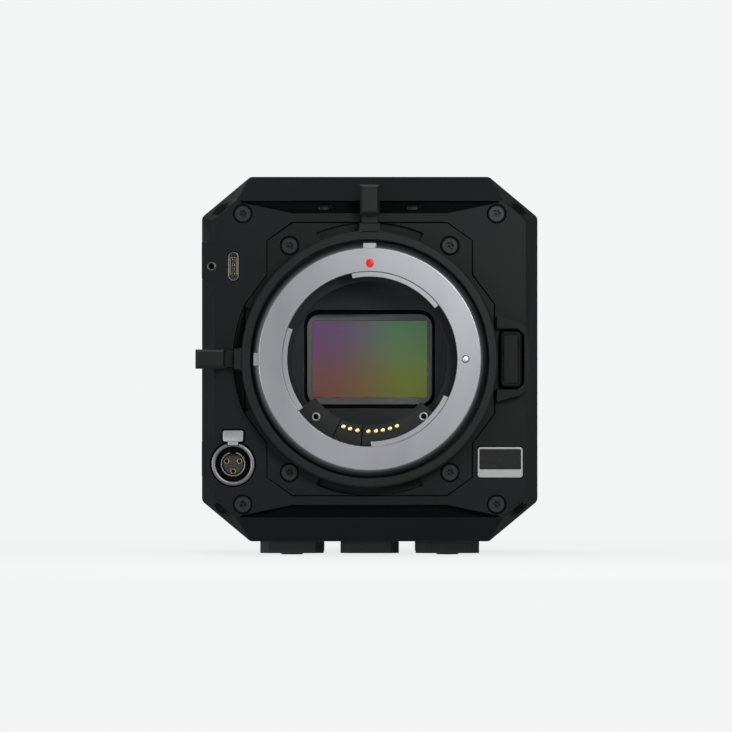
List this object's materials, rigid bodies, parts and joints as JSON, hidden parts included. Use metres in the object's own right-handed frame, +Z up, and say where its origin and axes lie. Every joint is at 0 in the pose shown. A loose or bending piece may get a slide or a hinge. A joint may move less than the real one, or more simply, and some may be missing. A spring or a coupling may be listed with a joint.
{
  "type": "cinema camera",
  "caption": "Box-style cinema camera: faceted black metal body, silver bayonet lens mount in a two-lever locking ring, side screen, rear battery plate.",
  "frame": {"origin": "where the optical axis meets the front face of the lens flange", "axes": "+X to the right seen from the front, +Y from the lens mount back through the camera, +Z up"},
  "size_m": [0.1058, 0.1155, 0.1173],
  "materials": {
    "body_black": "matte black anodised aluminium",
    "ring_black": "satin black anodised aluminium",
    "flange_silver": "turned stainless steel, satin",
    "index_red": "red enamel",
    "screw_black": "blackened steel",
    "button_grey": "matte black",
    "record_red": "matte red",
    "contact_black": "glass-filled plastic",
    "gold": "gold plated",
    "socket_metal": "nickel plated",
    "chamber_black": "flocked black",
    "clear_filter": "coated clear glass",
    "screen_glass": "black glass",
    "sensor_ceramic": "grey ceramic",
    "sensor_face": "iridescent silicon",
    "circuit_board": "green solder mask",
    "bare_aluminium": "milled",
    "fan_plastic": "black plastic",
    "rubber": "black rubber",
    "badge_metal": "bare satin plate",
    "microphone_metal": "metal can"
  },
  "bodies": {
    "camera_body": {"front_cover": "body_black", "main_housing": "body_black", "rear_cover": "body_black", "mount_plate": "body_black", "mount_flange": "flange_silver", "index_dot": "index_red", "contact_block": "contact_black", "contact_rivets": "socket_metal", "light_baffle": "chamber_black", "chamber_plate": "chamber_black", "filter_holder": "chamber_black", "filter_glass": "clear_filter", "sensor_package": "sensor_ceramic", "sensor_array": "sensor_face", "sensor_board": "circuit_board", "heat_spreader": "bare_aluminium", "heat_sink": "bare_aluminium", "fan_housing": "fan_plastic", "side_vent": "body_black", "media_door_pin": "socket_metal", "card_reader": "contact_black", "side_mount_plate": "body_black", "top_plate": "body_black", "base_plate": "body_black", "rubber_feet": "rubber", "screen_bezel": "body_black", "screen_glass": "screen_glass", "usb_sockets": "socket_metal", "usb_tongues": "contact_black", "xlr_shell": "socket_metal", "xlr_insert": "contact_black", "xlr_contacts": "gold", "badge_plate": "badge_metal", "microphones": "microphone_metal", "main_board": "circuit_board", "bnc_connector": "socket_metal", "network_socket": "socket_metal", "dc_socket": "contact_black", "audio_jacks": "contact_black", "battery_plate": "body_black", "battery_contacts": "gold", "face_screws": "screw_black", "mount_screws": "screw_black", "rear_screws": "screw_black", "top_screws": "screw_black", "base_screws": "screw_black"},
    "locking_ring": {"locking_ring": "ring_black"},
    "release_button": {"release_button": "button_grey"},
    "lens_lock_pin": {"lens_lock_pin": "socket_metal"},
    "contact_pins": {"contact_pins": "gold"},
    "fan_rotor": {"fan_rotor": "fan_plastic"},
    "media_door": {"media_door": "body_black"},
    "record_button": {"record_button": "record_red"},
    "function_key_1": {"function_key_1": "button_grey"},
    "function_key_2": {"function_key_2": "button_grey"},
    "function_key_3": {"function_key_3": "button_grey"},
    "function_key_4": {"function_key_4": "button_grey"},
    "power_switch": {"power_switch": "button_grey"},
    "xlr_latch": {"xlr_latch": "socket_metal"},
    "battery_latch": {"battery_latch": "button_grey"}
  },
  "joints": [
    {"name": "lens_lock", "type": "hinge", "parent": "camera_body", "child": "locking_ring", "pos_m": [0, 0, 0], "axis": [0, 1, 0], "range_deg": [-16, 16]},
    {"name": "release_press", "type": "slide", "parent": "camera_body", "child": "release_button", "axis": [0, 1, 0], "range_m": [0, 0.0025], "stiffness_N_per_m": 400},
    {"name": "lock_pin_retract", "type": "slide", "parent": "camera_body", "child": "lens_lock_pin", "axis": [0, 1, 0], "range_m": [0, 0.0015], "stiffness_N_per_m": 200},
    {"name": "lens_contact_press", "type": "slide", "parent": "camera_body", "child": "contact_pins", "axis": [0, 1, 0], "range_m": [0, 0.0005], "stiffness_N_per_m": 300},
    {"name": "fan_spin", "type": "hinge", "parent": "camera_body", "child": "fan_rotor", "pos_m": [-0.043, 0.064, 0.02], "axis": [1, 0, 0], "continuous": true},
    {"name": "media_door_hinge", "type": "hinge", "parent": "camera_body", "child": "media_door", "pos_m": [-0.05095, 0.0665, -0.04065], "axis": [0, -1, 0], "range_deg": [0, 100]},
    {"name": "record_press", "type": "slide", "parent": "camera_body", "child": "record_button", "axis": [-1, 0, 0], "range_m": [0, 0.0008], "stiffness_N_per_m": 500},
    {"name": "function_press_1", "type": "slide", "parent": "camera_body", "child": "function_key_1", "axis": [-1, 0, 0], "range_m": [0, 0.0008], "stiffness_N_per_m": 400},
    {"name": "function_press_2", "type": "slide", "parent": "camera_body", "child": "function_key_2", "axis": [-1, 0, 0], "range_m": [0, 0.0008], "stiffness_N_per_m": 400},
    {"name": "function_press_3", "type": "slide", "parent": "camera_body", "child": "function_key_3", "axis": [-1, 0, 0], "range_m": [0, 0.0008], "stiffness_N_per_m": 400},
    {"name": "function_press_4", "type": "slide", "parent": "camera_body", "child": "function_key_4", "axis": [-1, 0, 0], "range_m": [0, 0.0008], "stiffness_N_per_m": 400},
    {"name": "power_slide", "type": "slide", "parent": "camera_body", "child": "power_switch", "axis": [0, 1, 0], "range_m": [0, 0.005]},
    {"name": "xlr_latch_press", "type": "slide", "parent": "camera_body", "child": "xlr_latch", "axis": [0, 1, 0], "range_m": [0, 0.0012], "stiffness_N_per_m": 400},
    {"name": "battery_latch_press", "type": "slide", "parent": "camera_body", "child": "battery_latch", "axis": [0, -1, 0], "range_m": [0, 0.0024], "stiffness_N_per_m": 400}
  ],
  "couplings": [
    {"joint": "lock_pin_retract", "follows": "release_press", "ratio": 0.6}
  ]
}
